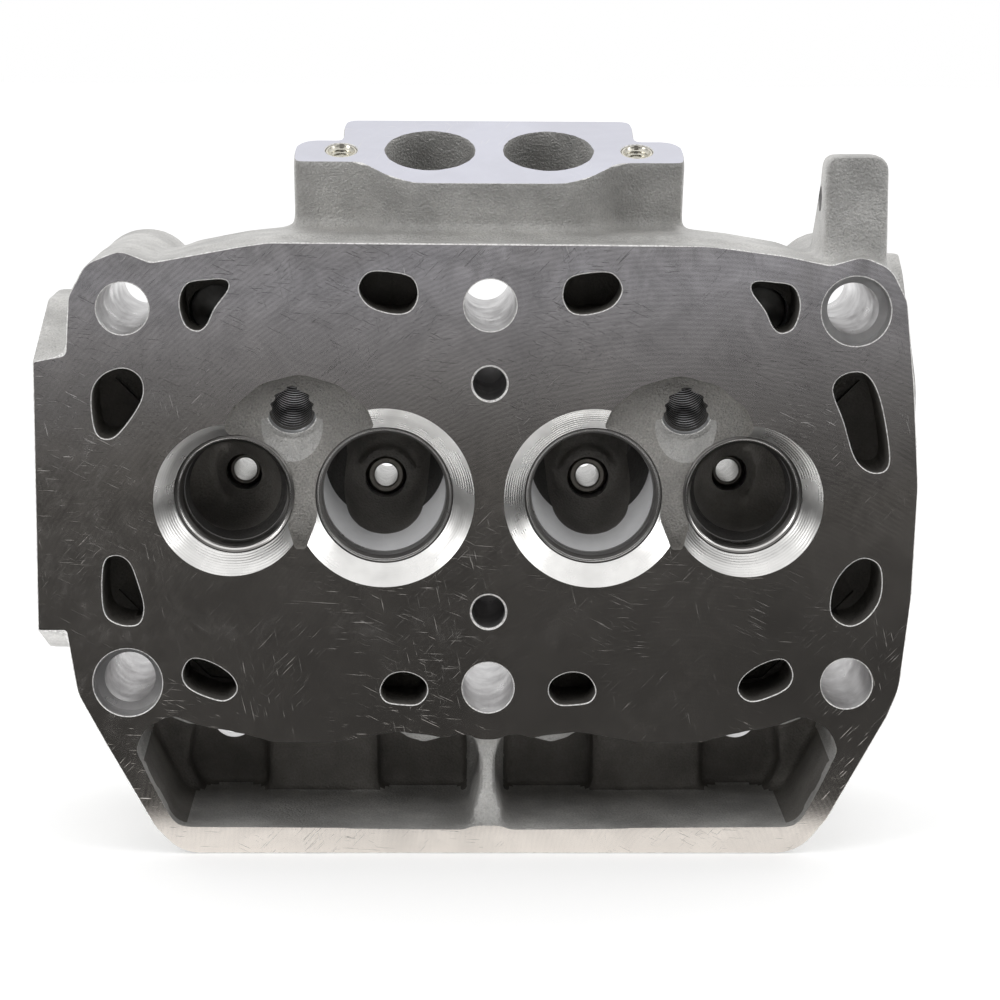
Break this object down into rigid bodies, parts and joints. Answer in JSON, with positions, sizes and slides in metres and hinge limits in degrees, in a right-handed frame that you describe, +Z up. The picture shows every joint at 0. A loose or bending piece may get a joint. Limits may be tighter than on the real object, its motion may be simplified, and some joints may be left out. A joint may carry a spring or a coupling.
{
  "type": "engine cylinder head",
  "caption": "Bare water-cooled pushrod cylinder head: milled sealing face, valve seats and guides, intake and exhaust ports, pushrod window, rocker chamber.",
  "frame": {"origin": "On the milled sealing face, midway between the two cylinders and level with the four valves", "axes": "+X to the right along the crankshaft, +Y into the head away from the cylinders, +Z up"},
  "size_m": [0.2723, 0.104, 0.2262],
  "materials": {
    "casting": "as cast, with milled faces",
    "valve_seat": "ground sintered steel",
    "valve_guide": "reamed bronze",
    "thread_insert": "stainless steel",
    "stud": "bright zinc-plated steel",
    "core_plug": "pressed steel"
  },
  "bodies": {
    "root": {"head_casting": "casting", "intake_valve_seat_left": "valve_seat", "intake_valve_guide_left": "valve_guide", "exhaust_valve_seat_left": "valve_seat", "exhaust_valve_guide_left": "valve_guide", "intake_flange_thread_insert_left": "thread_insert", "exhaust_flange_thread_insert_left_upper": "thread_insert", "exhaust_flange_thread_insert_left_lower": "thread_insert", "rocker_shaft_stud_left_inner": "stud", "rocker_shaft_stud_left_outer": "stud", "core_plug_left": "core_plug", "intake_valve_seat_right": "valve_seat", "intake_valve_guide_right": "valve_guide", "exhaust_valve_seat_right": "valve_seat", "exhaust_valve_guide_right": "valve_guide", "intake_flange_thread_insert_right": "thread_insert", "exhaust_flange_thread_insert_right_upper": "thread_insert", "exhaust_flange_thread_insert_right_lower": "thread_insert", "rocker_shaft_stud_right_inner": "stud", "rocker_shaft_stud_right_outer": "stud", "core_plug_right": "core_plug"}
  },
  "joints": []
}
